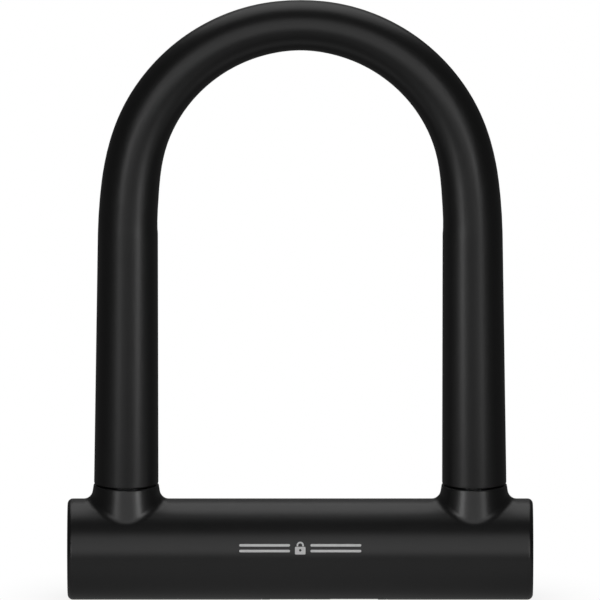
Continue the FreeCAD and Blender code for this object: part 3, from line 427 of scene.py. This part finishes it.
def pool_of_light(tree, turntable, centre, inner, outer, strength, stretch=1.0):
    """A soft-edged pool on the floor, full within the inner radius, none past the outer."""
    coordinates = tree.nodes.new("ShaderNodeTexCoord")
    coordinates.object = turntable
    scaled = tree.nodes.new("ShaderNodeVectorMath")
    scaled.operation = "MULTIPLY"
    scaled.inputs[1].default_value = (1.0 / stretch, 1.0, 0.0)
    tree.links.new(coordinates.outputs["Object"], scaled.inputs[0])
    away = tree.nodes.new("ShaderNodeVectorMath")
    away.operation = "DISTANCE"
    away.inputs[1].default_value = (centre[0] / stretch, centre[1], 0.0)
    tree.links.new(scaled.outputs["Vector"], away.inputs[0])
    edge = tree.nodes.new("ShaderNodeMapRange")
    edge.interpolation_type = "SMOOTHSTEP"
    edge.inputs["From Min"].default_value = inner
    edge.inputs["From Max"].default_value = outer
    edge.inputs["To Min"].default_value = strength
    edge.inputs["To Max"].default_value = 0.0
    tree.links.new(away.outputs["Value"], edge.inputs["Value"])
    return edge.outputs["Result"]


def floor_glow(tree, turntable):
    """Light off the floor: faint all over, a near pool in front and one out to each side."""
    pools = [
        pool_of_light(tree, turntable, (0.0, -0.055), 0.025, 0.07, NEAR_POOL, stretch=4.0),
        pool_of_light(tree, turntable, (-0.27, -0.36), 0.1, 0.27, SIDE_POOL),
        pool_of_light(tree, turntable, (0.27, -0.36), 0.1, 0.27, SIDE_POOL),
    ]
    faint = tree.nodes.new("ShaderNodeValue")
    faint.outputs["Value"].default_value = FAINT_FLOOR
    total = faint.outputs["Value"]
    for pool in pools:
        adder = tree.nodes.new("ShaderNodeMath")
        adder.operation = "ADD"
        tree.links.new(total, adder.inputs[0])
        tree.links.new(pool, adder.inputs[1])
        total = adder.outputs["Value"]
    return total


def floor_material(turntable):
    """Pale floor: shaded by what stands on it, clear from below, softly lit in reflections."""
    material = bpy.data.materials.new("floor")
    material.use_nodes = True
    tree = material.node_tree
    tree.nodes.clear()
    path = tree.nodes.new("ShaderNodeLightPath")
    side = tree.nodes.new("ShaderNodeNewGeometry")
    shown = glow(tree, "ShaderNodeEmission", 1.0)
    contact = tree.nodes.new("ShaderNodeAmbientOcclusion")
    contact.inputs["Distance"].default_value = CONTACT_REACH
    shade = remap(tree, contact.outputs["AO"], CONTACT_SHADE, 1.0)
    tree.links.new(shade, shown.inputs["Strength"])
    bounce = glow(tree, "ShaderNodeEmission", 1.0)
    tree.links.new(floor_glow(tree, turntable), bounce.inputs["Strength"])
    clear = tree.nodes.new("ShaderNodeBsdfTransparent")
    output = tree.nodes.new("ShaderNodeOutputMaterial")
    above = shader_mix(
        tree, path.outputs["Is Camera Ray"], bounce.outputs["Emission"],
        shown.outputs["Emission"],
    )
    surface = shader_mix(tree, side.outputs["Backfacing"], above, clear.outputs["BSDF"])
    tree.links.new(surface, output.inputs["Surface"])
    return material


def studio_floor(turntable):
    """A plain floor just under the crossbar."""
    corners = [
        (side * FLOOR_REACH, depth * FLOOR_REACH, FLOOR_HEIGHT)
        for side, depth in ((-1, -1), (1, -1), (1, 1), (-1, 1))
    ]
    mesh = bpy.data.meshes.new("floor")
    mesh.from_pydata(corners, [], [(0, 1, 2, 3)])
    floor = bpy.data.objects.new("floor", mesh)
    bpy.context.scene.collection.objects.link(floor)
    floor.data.materials.append(floor_material(turntable))


def softbox(turntable, name, place, width, height, radiance, target=MIDDLE, spread=180.0):
    """A rectangular light aimed at a point, its strength given as radiance."""
    light = bpy.data.lights.new(name, "AREA")
    light.shape = "RECTANGLE"
    light.size = width
    light.size_y = height
    light.energy = radiance * width * height * math.pi
    light.spread = math.radians(spread)
    holder = bpy.data.objects.new(name, light)
    bpy.context.scene.collection.objects.link(holder)
    holder.location = place
    aim = Vector(target) - Vector(place)
    holder.rotation_euler = aim.to_track_quat("-Z", "Y").to_euler()
    holder.visible_camera = False
    holder.parent = turntable


def on_arc(angle):
    """A point round the middle, in the plane x = 0: 0 degrees is the front, 90 overhead."""
    turn = math.radians(angle)
    return MIDDLE + PANEL_DISTANCE * Vector((0.0, -math.cos(turn), math.sin(turn)))


def studio_lights(turntable):
    """The panels, and the beams of both sides."""
    for name, angle, width, height, radiance in PANELS:
        softbox(turntable, name, on_arc(angle), width, height, radiance)
    for side, side_name in ((-1, "left"), (1, "right")):
        for name, place, width, height, radiance, target_height, spread in BEAMS:
            softbox(
                turntable, f"{name}_{side_name}", (side * place[0], place[1], place[2]),
                width, height, radiance, (-side * LEG_OFFSET, 0.0, target_height), spread,
            )


def studio_camera():
    """Long lens at the front, a little above the horizontal."""
    data = bpy.data.cameras.new("camera")
    data.sensor_width = CAMERA_SENSOR
    data.lens = CAMERA_SENSOR * CAMERA_DISTANCE / VIEW_WIDTH
    data.clip_end = CAMERA_FAR_END
    camera = bpy.data.objects.new("camera", data)
    bpy.context.scene.collection.objects.link(camera)
    back = Vector((0.0, -math.cos(CAMERA_ELEVATION), math.sin(CAMERA_ELEVATION)))
    camera.location = CAMERA_TARGET + CAMERA_DISTANCE * back
    camera.rotation_euler = (-back).to_track_quat("-Z", "Y").to_euler()
    bpy.context.scene.camera = camera
    bpy.context.scene.view_settings.view_transform = "Standard"
    return camera


def studio_turntable(camera):
    """Carries the lights, and turns about the vertical with the camera."""
    turntable = bpy.data.objects.new("turntable", None)
    bpy.context.scene.collection.objects.link(turntable)
    follow = turntable.constraints.new("COPY_ROTATION")
    follow.target = camera
    follow.use_x = False
    follow.use_y = False
    return turntable


dress_nodes()
printed_mark(print_ink())
studio_world()
stand = studio_turntable(studio_camera())
studio_floor(stand)
studio_lights(stand)
